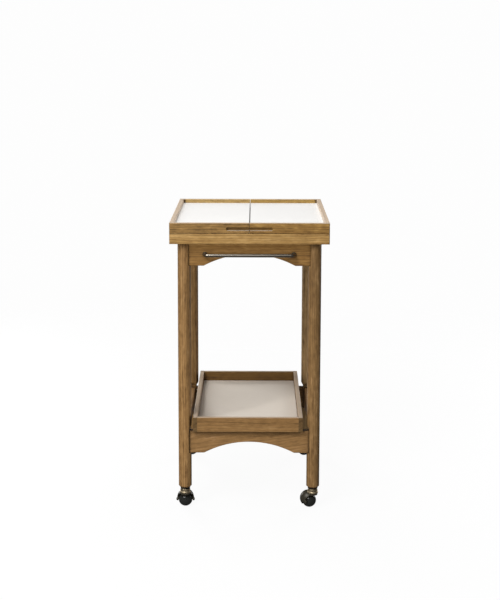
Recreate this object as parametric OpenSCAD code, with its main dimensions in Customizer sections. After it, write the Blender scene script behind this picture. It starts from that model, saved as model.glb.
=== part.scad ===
// Kitchen cart whose top opens like a pair of wings.
// The origin is on the floor under the middle of the top; -Y is the front, with the towel bar.

/* [Top] */
// Width of the closed top, side to side
top_w = 450; // [420:5:500]
// Depth of the top, front to back
top_d = 550; // [480:10:640]
// Height of the rims of the closed top above the floor
top_h = 840; // [780:10:920]
// Thickness of a folding leaf, rim included
leaf_t = 29.5; // [27:0.5:34]
// Thickness of the fixed base under the leaves
base_t = 30; // [28:1:36]
// Thickness of the rim boards and of the base's edge boards
rim_t = 13; // [12:0.5:16]
// How far a leaf's rim stands above its panel
lip_h = 12; // [8:0.5:13]
// Thickness of the base's panel
base_panel_t = 18; // [16:1:22]
// Gap between the two closed leaves
leaf_gap = 1; // [0.5:0.5:2]
// Gap between a closed leaf and the base
seam_gap = 0.5; // [0.4:0.1:1]
// Radius of the top's upright corners
corner_r = 3; // [2:0.5:5]
// Radius of the long edges of the boards
edge_r = 1.5; // [1:0.25:2]

/* [Finger pull] */
// Length of the slot that the two front rims share
pull_l = 130; // [100:5:180]
// Height of the slot
pull_h = 8; // [7:0.5:12]
// Depth of the slot into the rim
pull_deep = 10; // [8:0.5:10.5]
// Distance from the top of the rim to the middle of the slot
pull_drop = 17; // [15:0.5:19]
// Width of the bevel round the slot
pull_bevel = 1; // [0.5:0.1:1.5]

/* [Legs] */
// Diameter of a leg
leg_dia = 37.5; // [34:0.5:42]
// Distance from the side of the top to a leg's axis
leg_in_x = 40; // [38:1:55]
// Distance from the front of the top to a leg's axis
leg_in_y = 36; // [35:1:60]
// Depth of the flats that the apron boards seat on
flat_deep = 6.25; // [5:0.25:7]
// Height of the chamfer at a leg's foot
foot_h = 4.5; // [3:0.5:7]
// Width of the chamfer at a leg's foot
foot_w = 4.75; // [3:0.25:6]

/* [Aprons] */
// Thickness of the apron boards
apron_t = 18; // [16:0.5:20]
// Height of the apron boards that shows
apron_h = 66; // [60:1:80]
// Height of the top of the lower aprons above the floor
shelf_h = 232; // [200:2:300]
// Rise of the arch in each apron
arch_rise = 33; // [20:1:40]
// Length of straight lower edge at each end of an apron
arch_land = 42.5; // [40:0.5:60]
// Clear length of flat above a lower apron
runout_gap = 7; // [4:1:12]
// Height over which a flat runs out to the round of the leg
runout_h = 9.5; // [6:0.5:14]
// Diameter of the apron dowels
dowel_dia = 8; // [6:0.5:8]
// Depth of the dowels in a leg
dowel_in_leg = 12; // [9:1:12]
// Depth of the dowels in an apron
dowel_in_apron = 18; // [15:1:24]

/* [Lower tray] */
// Clearance between the tray and the legs, each side
tray_side_gap = 8.75; // [7:0.25:14]
// How far off the middle the tray lies
tray_shift = -3.5; // [-5:0.5:5]
// Distance from the front of the top back to the tray
tray_setback = 13; // [4:1:16]
// How much shorter than the top's depth the tray is
tray_short = 14; // [14:1:60]
// Height of the tray boards
tray_h = 42.5; // [36:0.5:60]
// Thickness of the tray boards
tray_t = 12; // [10:0.5:15]
// Thickness of the tray's floor panel
tray_floor_t = 6; // [4:0.5:9]
// Depth of the tray above its floor
tray_deep = 29.5; // [22:0.5:30]
// Depth of the groove that holds the floor panel
groove = 5; // [3:0.5:6]

/* [Towel bar] */
// Diameter of the bar
bar_dia = 10; // [8:0.5:12]
// Distance between the axes of its two ends
bar_span = 251; // [180:1:290]
// Distance from the apron's face to the bar's axis
bar_stand = 19; // [14:0.5:20]
// Distance from the underside of the base down to the bar's axis
bar_drop = 33.5; // [24:0.5:36]
// Bend radius of the bar on its axis
bar_bend = 9; // [7:0.5:12]
// Diameter of the bar's flanges
flange_dia = 14; // [11.5:0.5:18]

/* [Casters] */
// Height from the floor to the leg's foot
caster_h = 62; // [60:1:70]
// Diameter of the ball
ball_dia = 40; // [36:1:44]
// Distance from the swivel axis to the ball's centre
trail = 11; // [8:0.5:13]
// Gap between the ball and its hood
hood_gap = 1.2; // [0.8:0.1:2]
// Wall of the hood
hood_wall = 2.8; // [2:0.1:4]
// Slope of the hood's open face from the horizontal
hood_tilt = 50; // [40:1:60]
// Diameter of the collar on top of the hood
collar_dia = 32; // [28:1:36]
// Diameter of the caster's stem
stem_dia = 8; // [6:0.5:9]
// Length of the stem inside the leg
stem_in_leg = 36; // [28:1:44]
// Diameter of the ball's axle
axle_dia = 4; // [3:0.5:6]
// Turn of the front left caster
turn_fl = 0; // [0:5:355]
// Turn of the front right caster
turn_fr = 60; // [0:5:355]
// Turn of the back left caster
turn_bl = 20; // [0:5:355]
// Turn of the back right caster
turn_br = 45; // [0:5:355]

/* [Hinges] */
// Length of a hinge along the side of the top
hinge_l = 60; // [50:5:90]
// Width of a hinge plate from the pin's axis
hinge_w = 26; // [24:1:30]
// Thickness of a hinge plate
hinge_t = 1.5; // [1.2:0.1:2]
// Diameter of the knuckles
knuckle_dia = 6; // [5:0.5:7]
// Diameter of the hinge pin
pin_dia = 3; // [2:0.25:3.5]
// Distance from the front and the back of the top to a hinge's middle
hinge_in = 110; // [70:5:160]

/* [Hidden] */
$fn = 48;

// Working clearances
fit = 0.05;        // round a pin or a stem in its bore, on the radius
pocket_gap = 0.1;  // round a plate let into wood
knuckle_gap = 0.4; // round a knuckle, and between knuckles
screw_gap = 0.2;   // from a countersunk head to the plate's face
rest_gap = 0.2;    // under the tray

// Colours
wood = [0.52, 0.39, 0.25];
wood_light = [0.66, 0.52, 0.33];
panel_white = [0.96, 0.96, 0.94];
tray_grey = [0.76, 0.72, 0.67];
steel_black = [0.10, 0.10, 0.10];
brass = [0.70, 0.58, 0.34];
bronze = [0.42, 0.36, 0.24];
gunmetal = [0.17, 0.17, 0.16];
beech = [0.78, 0.66, 0.48];

// Levels of the top
leaf_z = top_h - leaf_t;
base_top_z = leaf_z - seam_gap;
base_z = base_top_z - base_t;
axis_z = leaf_z - seam_gap/2;
axis_x = top_w/2 + seam_gap/2;
frame_top_z = base_top_z - base_panel_t;
leaf_panel_t = leaf_t - lip_h;

// Legs and aprons
leg_r = leg_dia/2;
leg_x = top_w/2 - leg_in_x;
leg_y = top_d/2 - leg_in_y;
flat_r = leg_r - flat_deep;
upper_z = base_z - apron_h;
upper_h = frame_top_z - upper_z;
lower_z = shelf_h - apron_h;
apron_x_l = 2*(leg_x - flat_r);
apron_y_l = 2*(leg_y - flat_r);
apron_face_y = leg_y + apron_t/2;
bolt_z = 33;
dowel_z_x = [11, 55];
dowel_z_y = [23, 43];
dowel_l = dowel_in_leg + dowel_in_apron;
dowel_end_gap = 0.5;

// Corner blocks, on lines at 45 degrees across each upper corner
block_far = 60;
block_near = 34.5;
block_short = 18;
block_h = upper_h - block_short;
block_bolt_far = (block_far + apron_t)/sqrt(2);
bolt_dia = 6;
bolt_root = 4;
nut_h = 5;
nut_dia = 11.5;
screw_row = 20;
screw_sink = 20;
screw_bite = 12;
top_screw_dia = 4.5;
screw_pan_dia = 8.5;
screw_pan_h = 3;

// Towel bar
bar_z = base_z - bar_drop;
bar_y = -apron_face_y - bar_stand;
bar_screw_dia = 4;
bar_in_apron = apron_t/2;
bar_screw_in = 14;
bar_screw_head_dia = 8;
bar_screw_head_h = 2.5;
bar_screw_sunk = 0.5;
flange_bevel = 0.8;
flange_t = 2;

// Tray
tray_w = 2*(leg_x - leg_r - tray_side_gap);
tray_d = top_d - tray_short;
tray_z = shelf_h + rest_gap;
tray_front_y = -top_d/2 + tray_setback;
tray_floor_z = tray_z + tray_h - tray_deep - tray_floor_t;
floor_rebate = 1;
floor_tongue_t = tray_floor_t - floor_rebate;
floor_slack = 0.5;
floor_play = 0.3;

// Casters
ball_r = ball_dia/2;
hood_in_r = ball_r + hood_gap;
hood_r = hood_in_r + hood_wall;
hood_back = 3.5;
hood_up = 5.5;
seat_r = collar_dia/2 - 2;
seat_web = 1.3;
seat_h = 3.5;
collar_z = 2*ball_r + hood_gap + seat_web;
collar_low_h = 7.5;
collar_high_h = 8;
collar_step = 1.5;
collar_high_dia = collar_dia - 2*collar_step;
collar_taper = 1;
collar_bevel = 1;
boss_dia = 9;
boss_l = 2;
ear_l = 8;
ear_proud = 0.5;
rivet_rim = 1;
rivet_h = 0.9;
sleeve_wall = 1.5;
sleeve_dia = stem_dia + 2*sleeve_wall;
sleeve_rim = 9;
sleeve_flange_dia = sleeve_dia + 2*sleeve_rim;
sleeve_flange_t = 2;
stem_top_gap = 2;

// Hinges
knuckles = 5;
knuckle_l = hinge_l/knuckles;
hinge_y = top_d/2 - hinge_in;
screw_dia = 3;
screw_head_dia = 6;
screw_head_h = 1.3;
screw_l = 13;
rim_screw_x = rim_t/2;
panel_screw_x = (rim_t + hinge_w)/2;

// Rectangle with its own radius at each corner: low left, low right, top right, top left
module section(w, h, r) {
  difference() {
    square([w, h]);
    corner_cut(r[0]);
    translate([w, 0]) rotate(90) corner_cut(r[1]);
    translate([w, h]) rotate(180) corner_cut(r[2]);
    translate([0, h]) rotate(270) corner_cut(r[3]);
  }
}

module corner_cut(r) {
  if (r > 0)
    difference() {
      translate([-1, -1]) square([r + 1, r + 1]);
      translate([r, r]) circle(r);
    }
}

// Board along X: its section's width runs along Y and its height along Z
module board_x(l, w, h, r) {
  rotate([90, 0, 90]) linear_extrude(l) section(w, h, r);
}

// Board along Y: its section's width runs along X and its height along Z
module board_y(l, w, h, r) {
  translate([0, l, 0]) rotate([90, 0, 0]) linear_extrude(l) section(w, h, r);
}

module each_corner() {
  for (sx = [-1, 1], sy = [-1, 1])
    mirror([sx > 0 ? 1 : 0, 0, 0]) mirror([0, sy > 0 ? 1 : 0, 0]) children();
}

module right_and_left() {
  for (side = [0, 1]) mirror([side, 0, 0]) children();
}

module front_and_back() {
  for (end = [-1, 1]) translate([0, end*hinge_y, 0]) children();
}

// Legs, drawn as the front left one, with the aprons running to +X and +Y
module leg() {
  color(wood)
    difference() {
      translate([-leg_x, -leg_y, 0]) leg_turning();
      leg_flats();
      for (z = dowel_z_x) {
        leg_dowel_bore_x(upper_z + z);
        leg_dowel_bore_x(lower_z + z);
      }
      for (z = dowel_z_y) {
        leg_dowel_bore_y(upper_z + z);
        leg_dowel_bore_y(lower_z + z);
      }
      leg_bolt_line() translate([0, 0, bolt_root - 1]) cylinder(d = bolt_dia + 2*fit, h = leg_dia);
      translate([-leg_x, -leg_y, caster_h - 1])
        cylinder(d = sleeve_dia + 2*fit, h = stem_in_leg + stem_top_gap + 2);
    }
}

module leg_turning() {
  translate([0, 0, caster_h]) cylinder(r1 = leg_r - foot_w, r2 = leg_r, h = foot_h);
  translate([0, 0, caster_h + foot_h]) cylinder(r = leg_r, h = frame_top_z - caster_h - foot_h);
}

// A flat starts at the apron's lower edge with a square shoulder and runs out above the lower aprons
module flat_cutter(z0, z1) {
  rotate([90, 0, 0]) linear_extrude(leg_dia, center = true)
    polygon([[flat_r, z0], [leg_r + 2, z0], [leg_r + 2, z1 + runout_h*(flat_deep + 2)/flat_deep], [flat_r, z1]]);
}

module leg_flats() {
  translate([-leg_x, -leg_y, 0])
    for (turn = [0, 90]) rotate(turn) {
      flat_cutter(lower_z, shelf_h + runout_gap);
      flat_cutter(upper_z, frame_top_z + leg_r);
    }
}

module leg_dowel_bore_x(z) {
  translate([-leg_x + flat_r - dowel_in_leg - dowel_end_gap, -leg_y, z]) rotate([0, 90, 0])
    cylinder(d = dowel_dia + 2*fit, h = dowel_in_leg + dowel_end_gap + 1);
}

module leg_dowel_bore_y(z) {
  translate([-leg_x, -leg_y + flat_r - dowel_in_leg - dowel_end_gap, z]) rotate([-90, 0, 0])
    cylinder(d = dowel_dia + 2*fit, h = dowel_in_leg + dowel_end_gap + 1);
}

// Line of the leg bolt: its Z runs from the leg's axis inward at 45 degrees
module leg_bolt_line() {
  translate([-leg_x, -leg_y, upper_z + bolt_z]) rotate([0, 0, 45]) rotate([0, 90, 0]) children();
}

module leg_front_left() { leg(); }
module leg_front_right() { mirror([1, 0, 0]) leg(); }
module leg_back_left() { mirror([0, 1, 0]) leg(); }
module leg_back_right() { mirror([1, 0, 0]) mirror([0, 1, 0]) leg(); }

// Apron along X, centred, with its lower edge at Z = 0 and a circular arch cut out of it
module apron(l, h, dowel_zs) {
  chord = l - 2*arch_land;
  arch_r = (chord*chord/4 + arch_rise*arch_rise)/(2*arch_rise);
  difference() {
    translate([-l/2, -apron_t/2, 0]) board_x(l, apron_t, h, [edge_r, edge_r, edge_r, edge_r]);
    translate([0, 0, arch_rise - arch_r]) rotate([90, 0, 0])
      cylinder(r = arch_r, h = apron_t + 2, center = true, $fn = 180);
    for (end = [-1, 1], z = dowel_zs)
      translate([end*(l/2 - (dowel_in_apron + dowel_end_gap - 1)/2), 0, z]) rotate([0, 90, 0])
        cylinder(d = dowel_dia + 2*fit, h = dowel_in_apron + dowel_end_gap + 1, center = true);
  }
}

module apron_x(z, h) { translate([0, 0, z]) apron(apron_x_l, h, dowel_z_x); }
module apron_y(z, h) { translate([0, 0, z]) rotate(90) apron(apron_y_l, h, dowel_z_y); }

// Room for the leg bolts beside the ends of the upper aprons and through the blocks
module bolt_clearance() {
  each_corner() leg_bolt_line() cylinder(d = bolt_dia + 0.6, h = block_bolt_far + 2);
}

module apron_upper_front() {
  color(wood)
    difference() {
      translate([0, -leg_y, 0]) apron_x(upper_z, upper_h);
      bolt_clearance();
      right_and_left()
        translate([bar_span/2, -leg_y, bar_z]) rotate([90, 0, 0]) {
          cylinder(d = bar_screw_dia + 0.4, h = apron_t + 2, center = true);
          cylinder(d = bar_dia + 2*fit, h = bar_in_apron + 1);
          translate([0, 0, -apron_t/2 - 1])
            cylinder(d = bar_screw_head_dia + 0.4, h = bar_screw_head_h + bar_screw_sunk + 1);
        }
    }
}

module apron_upper_back() {
  color(wood)
    difference() {
      translate([0, leg_y, 0]) apron_x(upper_z, upper_h);
      bolt_clearance();
    }
}

module apron_upper_side() {
  color(wood)
    difference() {
      translate([leg_x, 0, 0]) apron_y(upper_z, upper_h);
      bolt_clearance();
    }
}

module apron_upper_left() { mirror([1, 0, 0]) apron_upper_side(); }
module apron_upper_right() { apron_upper_side(); }
module apron_lower_front() { color(wood) translate([0, -leg_y, 0]) apron_x(lower_z, apron_h); }
module apron_lower_back() { color(wood) translate([0, leg_y, 0]) apron_x(lower_z, apron_h); }
module apron_lower_left() { color(wood) translate([-leg_x, 0, 0]) apron_y(lower_z, apron_h); }
module apron_lower_right() { color(wood) translate([leg_x, 0, 0]) apron_y(lower_z, apron_h); }

module apron_dowels() {
  color(beech)
    each_corner()
      for (z0 = [upper_z, lower_z]) {
        for (z = dowel_z_x)
          translate([-leg_x + flat_r - dowel_in_leg, -leg_y, z0 + z]) rotate([0, 90, 0])
            cylinder(d = dowel_dia, h = dowel_l);
        for (z = dowel_z_y)
          translate([-leg_x, -leg_y + flat_r - dowel_in_leg, z0 + z]) rotate([-90, 0, 0])
            cylinder(d = dowel_dia, h = dowel_l);
      }
}

// Blocks across the upper corners, under the base's panel
module corner_blocks() {
  color(beech)
    each_corner()
      difference() {
        translate([-leg_x + apron_t/2, -leg_y + apron_t/2, frame_top_z - block_h])
          linear_extrude(block_h)
            polygon([[block_near, 0], [block_far, 0], [0, block_far], [0, block_near]]);
        leg_bolt_line() cylinder(d = bolt_dia + 0.6, h = block_bolt_far + 2);
        block_screw_places() {
          translate([0, 0, -1]) cylinder(d = screw_pan_dia + 1, h = screw_sink + 1);
          cylinder(d = top_screw_dia + 2*fit, h = block_h + 1);
        }
      }
}

// Two upright screws beside each leg bolt
module block_screw_places() {
  middle = (block_near + block_far)/4;
  for (s = [-1, 1])
    translate([-leg_x + apron_t/2 + middle + s*screw_row/sqrt(2),
               -leg_y + apron_t/2 + middle - s*screw_row/sqrt(2),
               frame_top_z - block_h]) children();
}

module top_screws() {
  color(gunmetal)
    each_corner() block_screw_places() {
      translate([0, 0, screw_sink - screw_pan_h]) cylinder(d = screw_pan_dia, h = screw_pan_h);
      translate([0, 0, screw_sink]) cylinder(d = top_screw_dia, h = block_h - screw_sink + screw_bite);
    }
}

// Bolts from the legs through the corner blocks, each with its hexagon nut as a separate solid
module leg_bolts() {
  color(gunmetal)
    each_corner() leg_bolt_line() {
      translate([0, 0, bolt_root]) cylinder(d = bolt_dia, h = block_bolt_far + nut_h + 4 - bolt_root);
      translate([0, 0, block_bolt_far])
        difference() {
          cylinder(d = nut_dia, h = nut_h, $fn = 6);
          translate([0, 0, -1]) cylinder(d = bolt_dia + 2*fit, h = nut_h + 2);
        }
    }
}

// Plan of the whole top, with round upright corners
module top_plan() {
  translate([-top_w/2, -top_d/2]) section(top_w, top_d, [corner_r, corner_r, corner_r, corner_r]);
}

module in_top_plan() {
  intersection() {
    children();
    translate([0, 0, base_z - 1]) linear_extrude(top_h - base_z + 2) top_plan();
  }
}

// Fixed base of the top
module base_edge_x() {
  color(wood_light) in_top_plan()
    translate([-top_w/2, -top_d/2, base_z]) board_x(top_w, rim_t, base_t, [edge_r, 0, 0, edge_r]);
}

module base_edge_y() {
  color(wood_light)
    difference() {
      translate([top_w/2 - rim_t, -top_d/2 + rim_t, base_z])
        board_y(top_d - 2*rim_t, rim_t, base_t, [0, edge_r, edge_r, 0]);
      base_hinge_cuts();
    }
}

module base_edge_front() { base_edge_x(); }
module base_edge_back() { mirror([0, 1, 0]) base_edge_x(); }
module base_edge_right() { base_edge_y(); }
module base_edge_left() { mirror([1, 0, 0]) base_edge_y(); }

module base_panel() {
  color(panel_white)
    difference() {
      translate([-top_w/2 + rim_t, -top_d/2 + rim_t, frame_top_z])
        cube([top_w - 2*rim_t, top_d - 2*rim_t, base_panel_t]);
      right_and_left() base_hinge_cuts();
      each_corner() block_screw_places() cylinder(d = top_screw_dia + 2*fit, h = block_h + screw_bite + 0.5);
    }
}

// Hinges, drawn on the right side with the pin's axis along Y at the origin
module hinge_places() {
  front_and_back() translate([axis_x, 0, axis_z]) children();
}

module hinge_screw_places() {
  gap = seam_gap/2;
  for (s = [-1, 1]) {
    translate([-gap - rim_screw_x, s*hinge_l/3, -gap]) children();
    translate([-gap - panel_screw_x, s*hinge_l/6, -gap]) children();
  }
}

// Plate under the seam with the knuckles whose numbers are in mine
module hinge_plate(mine) {
  gap = seam_gap/2;
  inner = knuckle_dia/2 + knuckle_gap;
  difference() {
    union() {
      translate([-hinge_w, -hinge_l/2, -gap - hinge_t]) cube([hinge_w - inner, hinge_l, hinge_t]);
      for (i = mine)
        translate([0, -hinge_l/2 + i*knuckle_l + knuckle_gap/2, 0]) {
          translate([-inner, 0, -gap - hinge_t]) cube([inner, knuckle_l - knuckle_gap, hinge_t]);
          rotate([-90, 0, 0]) cylinder(d = knuckle_dia, h = knuckle_l - knuckle_gap);
        }
    }
    rotate([90, 0, 0]) cylinder(d = pin_dia + 2*fit, h = hinge_l + 2, center = true);
    hinge_screw_places() {
      translate([0, 0, -hinge_t - 1]) cylinder(d = screw_dia + 2*fit, h = hinge_t + 2);
      translate([0, 0, -screw_gap - screw_head_h])
        cylinder(d1 = screw_dia + 2*fit, d2 = screw_head_dia + 2*fit, h = screw_head_h);
      translate([0, 0, -screw_gap]) cylinder(d = screw_head_dia + 2*fit, h = screw_gap + 1);
    }
  }
}

module hinge_screw_set() {
  hinge_screw_places() {
    translate([0, 0, -screw_l]) cylinder(d = screw_dia, h = screw_l - screw_gap - screw_head_h);
    translate([0, 0, -screw_gap - screw_head_h])
      cylinder(d1 = screw_dia, d2 = screw_head_dia, h = screw_head_h);
  }
}

// Room in the wood for one plate, its screws and the knuckles
module hinge_cuts() {
  gap = seam_gap/2;
  translate([-hinge_w - pocket_gap, -hinge_l/2 - pocket_gap, -gap - hinge_t - pocket_gap])
    cube([hinge_w + 2, hinge_l + 2*pocket_gap, hinge_t + pocket_gap + 1]);
  rotate([90, 0, 0])
    cylinder(d = knuckle_dia + 2*knuckle_gap, h = hinge_l + 2*knuckle_gap, center = true);
  hinge_screw_places()
    translate([0, 0, -screw_l - 0.5]) cylinder(d = screw_dia + 2*fit, h = screw_l + 0.5);
}

module base_hinge_cuts() { hinge_places() hinge_cuts(); }
module leaf_hinge_cuts() { hinge_places() mirror([0, 0, 1]) hinge_cuts(); }

// Base plates with three knuckles each, and the four pins as separate solids
module base_hinges() {
  color(brass)
    right_and_left() hinge_places() {
      hinge_plate([0, 2, 4]);
      rotate([90, 0, 0]) cylinder(d = pin_dia, h = hinge_l, center = true);
    }
}

module base_hinge_screws() {
  color(brass) right_and_left() hinge_places() hinge_screw_set();
}

// Right leaf; the left one is its mirror image
module leaf_hinges() {
  color(brass) hinge_places() mirror([0, 0, 1]) hinge_plate([1, 3]);
}

module leaf_screws() {
  color(brass) hinge_places() mirror([0, 0, 1]) hinge_screw_set();
}

module leaf_panel() {
  color(panel_white)
    difference() {
      translate([leaf_gap/2, -top_d/2 + rim_t, leaf_z])
        cube([top_w/2 - rim_t - leaf_gap/2, top_d - 2*rim_t, leaf_panel_t]);
      leaf_hinge_cuts();
    }
}

module leaf_rim_side() {
  color(wood_light)
    difference() {
      translate([top_w/2 - rim_t, -top_d/2 + rim_t, leaf_z])
        board_y(top_d - 2*rim_t, rim_t, leaf_t, [0, edge_r, edge_r, edge_r]);
      leaf_hinge_cuts();
    }
}

module leaf_rim_x() {
  in_top_plan()
    translate([leaf_gap/2, -top_d/2, leaf_z])
      board_x(top_w/2 - leaf_gap/2, rim_t, leaf_t, [edge_r, 0, edge_r, edge_r]);
}

module leaf_rim_back() {
  color(wood_light) mirror([0, 1, 0]) leaf_rim_x();
}

module leaf_rim_front() {
  color(wood)
    difference() {
      leaf_rim_x();
      translate([0, -top_d/2, top_h - pull_drop]) pull_slot();
    }
}

// Half of the finger pull: straight from the split, round at its outer end, with a bevel in front
module pull_slot() {
  r = pull_h/2;
  straight = pull_l/2 - r;
  rotate([90, 0, 0]) {
    translate([0, -r, -pull_deep]) cube([straight, pull_h, pull_deep + 1]);
    translate([straight, 0, -pull_deep]) cylinder(r = r, h = pull_deep + 1);
    translate([straight, 0, -pull_bevel]) cylinder(r1 = r, r2 = r + pull_bevel, h = pull_bevel);
  }
  rotate([90, 0, 90]) linear_extrude(straight)
    polygon([[pull_bevel, r], [0, r + pull_bevel], [-1, r + pull_bevel],
             [-1, -r - pull_bevel], [0, -r - pull_bevel], [pull_bevel, -r]]);
}

module leaf_right_panel() { leaf_panel(); }
module leaf_right_rim_front() { leaf_rim_front(); }
module leaf_right_rim_back() { leaf_rim_back(); }
module leaf_right_rim_side() { leaf_rim_side(); }
module leaf_right_hinges() { leaf_hinges(); }
module leaf_right_screws() { leaf_screws(); }
module leaf_left_panel() { mirror([1, 0, 0]) leaf_panel(); }
module leaf_left_rim_front() { mirror([1, 0, 0]) leaf_rim_front(); }
module leaf_left_rim_back() { mirror([1, 0, 0]) leaf_rim_back(); }
module leaf_left_rim_side() { mirror([1, 0, 0]) leaf_rim_side(); }
module leaf_left_hinges() { mirror([1, 0, 0]) leaf_hinges(); }
module leaf_left_screws() { mirror([1, 0, 0]) leaf_screws(); }

// Towel bar, bent back at both ends into the apron and held by screws from behind
module towel_bar() {
  reach = bar_stand - bar_bend + bar_in_apron;
  color(steel_black)
    difference() {
      translate([0, bar_y, bar_z]) {
        rotate([0, 90, 0]) cylinder(d = bar_dia, h = bar_span - 2*bar_bend, center = true);
        right_and_left() {
          translate([bar_span/2 - bar_bend, bar_bend, 0]) rotate(-90)
            rotate_extrude(angle = 90) translate([bar_bend, 0]) circle(d = bar_dia);
          translate([bar_span/2, bar_bend, 0]) rotate([-90, 0, 0]) cylinder(d = bar_dia, h = reach);
        }
      }
      right_and_left()
        translate([bar_span/2, -leg_y + 1, bar_z]) rotate([90, 0, 0])
          cylinder(d = bar_screw_dia + 2*fit, h = bar_screw_in + 2);
    }
}

module bar_flanges() {
  inner = bar_dia/2 + fit;
  outer = flange_dia/2;
  color(steel_black)
    right_and_left()
      translate([bar_span/2, -apron_face_y, bar_z]) rotate([90, 0, 0])
        rotate_extrude() polygon([
          [inner, 0], [outer, 0], [outer, flange_t - flange_bevel],
          [outer - flange_bevel, flange_t], [inner, flange_t]
        ]);
}

module bar_screws() {
  color(gunmetal)
    right_and_left()
      translate([bar_span/2, -leg_y + apron_t/2 - bar_screw_sunk, bar_z]) rotate([90, 0, 0]) {
        cylinder(d = bar_screw_dia, h = apron_t/2 - bar_screw_sunk + bar_screw_in);
        cylinder(d = bar_screw_head_dia, h = bar_screw_head_h);
      }
}

// Lower tray: the side boards run through, the front and back boards stand between them
module tray_box() {
  translate([tray_shift, tray_front_y, tray_z]) children();
}

module tray_groove() {
  translate([-tray_w/2 + tray_t - groove, tray_t - groove, tray_floor_z - tray_z])
    cube([tray_w - 2*(tray_t - groove), tray_d - 2*(tray_t - groove), floor_tongue_t]);
}

module tray_side() {
  color(wood)
    difference() {
      translate([-tray_w/2, 0, 0]) board_y(tray_d, tray_t, tray_h, [edge_r, edge_r, edge_r, edge_r]);
      tray_groove();
    }
}

module tray_end() {
  color(wood_light)
    difference() {
      translate([-tray_w/2 + tray_t, 0, 0])
        board_x(tray_w - 2*tray_t, tray_t, tray_h, [edge_r, edge_r, edge_r, edge_r]);
      tray_groove();
    }
}

module tray_left() { tray_box() tray_side(); }
module tray_right() { tray_box() mirror([1, 0, 0]) tray_side(); }
module tray_front() { tray_box() tray_end(); }
module tray_back() { tray_box() translate([0, tray_d, 0]) mirror([0, 1, 0]) tray_end(); }

// The floor panel has a thinner tongue in the grooves, and its face drops in between the boards
module tray_floor() {
  tongue_in = tray_t - groove + floor_slack;
  face_in = tray_t + floor_play;
  color(tray_grey) tray_box() {
    translate([-tray_w/2 + tongue_in, tongue_in, tray_floor_z - tray_z])
      cube([tray_w - 2*tongue_in, tray_d - 2*tongue_in, floor_tongue_t]);
    translate([-tray_w/2 + face_in, face_in, tray_floor_z - tray_z])
      cube([tray_w - 2*face_in, tray_d - 2*face_in, tray_floor_t]);
  }
}

// Casters, drawn with the swivel axis on Z and the ball trailing to +Y
module caster_at(sx, sy, turn) {
  translate([sx*leg_x, sy*leg_y, 0]) rotate(turn) children();
}

module stem() {
  low_r = collar_dia/2;
  high_r = collar_high_dia/2;
  top_r = high_r - collar_taper;
  ring_z = collar_z + collar_low_h;
  neck_z = ring_z + collar_high_h;
  color(bronze)
    rotate_extrude() polygon([
      [0, collar_z], [low_r - collar_bevel, collar_z], [low_r, collar_z + collar_bevel],
      [low_r, ring_z - collar_bevel], [low_r - collar_bevel, ring_z], [high_r, ring_z],
      [top_r, neck_z - collar_bevel], [top_r - collar_bevel, neck_z],
      [stem_dia/2, neck_z], [stem_dia/2, caster_h + stem_in_leg], [0, caster_h + stem_in_leg]
    ]);
}

// Half a shell behind and above the ball, with a seat for the collar and an ear at each end of the axle
module hood() {
  color(gunmetal)
    difference() {
      union() {
        difference() {
          hood_centre() sphere(r = hood_r);
          hood_centre() rotate([-hood_tilt, 0, 0]) translate([0, 0, -hood_r - 1])
            cube([3*hood_r, 3*hood_r, 2*hood_r + 2], center = true);
        }
        translate([0, 0, collar_z - seat_h]) cylinder(r = seat_r, h = seat_h);
        axle_line() cylinder(d = boss_dia, h = 2*(hood_r + boss_l), center = true);
        axle_line() linear_extrude(2*(hood_r + ear_proud), center = true)
          rotate(180 - hood_tilt) translate([0, -boss_dia/2]) square([ear_l, boss_dia]);
      }
      hood_centre() sphere(r = hood_in_r);
      translate([0, trail, ball_r]) sphere(r = hood_in_r);
      translate([0, 0, collar_z]) cylinder(d = collar_dia + 1, h = hood_r);
      axle_line() cylinder(d = axle_dia + 2*fit, h = 3*hood_r, center = true);
    }
}

module hood_centre() {
  translate([0, trail + hood_back, ball_r + hood_up]) children();
}

module axle_line() {
  translate([0, trail, ball_r]) rotate([0, 90, 0]) children();
}

// Pin with a bevelled rivet head on each boss
module axle() {
  face = hood_r + boss_l;
  pin = axle_dia/2;
  head = pin + rivet_rim;
  top = face + rivet_h;
  color(gunmetal)
    axle_line() rotate_extrude() polygon([
      [0, -top], [head - rivet_h/2, -top], [head, rivet_h/2 - top], [head, -face], [pin, -face],
      [pin, face], [head, face], [head, top - rivet_h/2], [head - rivet_h/2, top], [0, top]
    ]);
}

module ball() {
  color(steel_black) axle_line()
    rotate_extrude()
      intersection() {
        circle(r = ball_r);
        translate([axle_dia/2 + fit, -ball_r]) square([ball_r, ball_dia]);
      }
}

module caster_fl_stem() { caster_at(-1, -1, turn_fl) stem(); }
module caster_fl_hood() { caster_at(-1, -1, turn_fl) hood(); }
module caster_fl_axle() { caster_at(-1, -1, turn_fl) axle(); }
module caster_fl_ball() { caster_at(-1, -1, turn_fl) ball(); }
module caster_fr_stem() { caster_at(1, -1, turn_fr) stem(); }
module caster_fr_hood() { caster_at(1, -1, turn_fr) hood(); }
module caster_fr_axle() { caster_at(1, -1, turn_fr) axle(); }
module caster_fr_ball() { caster_at(1, -1, turn_fr) ball(); }
module caster_bl_stem() { caster_at(-1, 1, turn_bl) stem(); }
module caster_bl_hood() { caster_at(-1, 1, turn_bl) hood(); }
module caster_bl_axle() { caster_at(-1, 1, turn_bl) axle(); }
module caster_bl_ball() { caster_at(-1, 1, turn_bl) ball(); }
module caster_br_stem() { caster_at(1, 1, turn_br) stem(); }
module caster_br_hood() { caster_at(1, 1, turn_br) hood(); }
module caster_br_axle() { caster_at(1, 1, turn_br) axle(); }
module caster_br_ball() { caster_at(1, 1, turn_br) ball(); }

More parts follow.
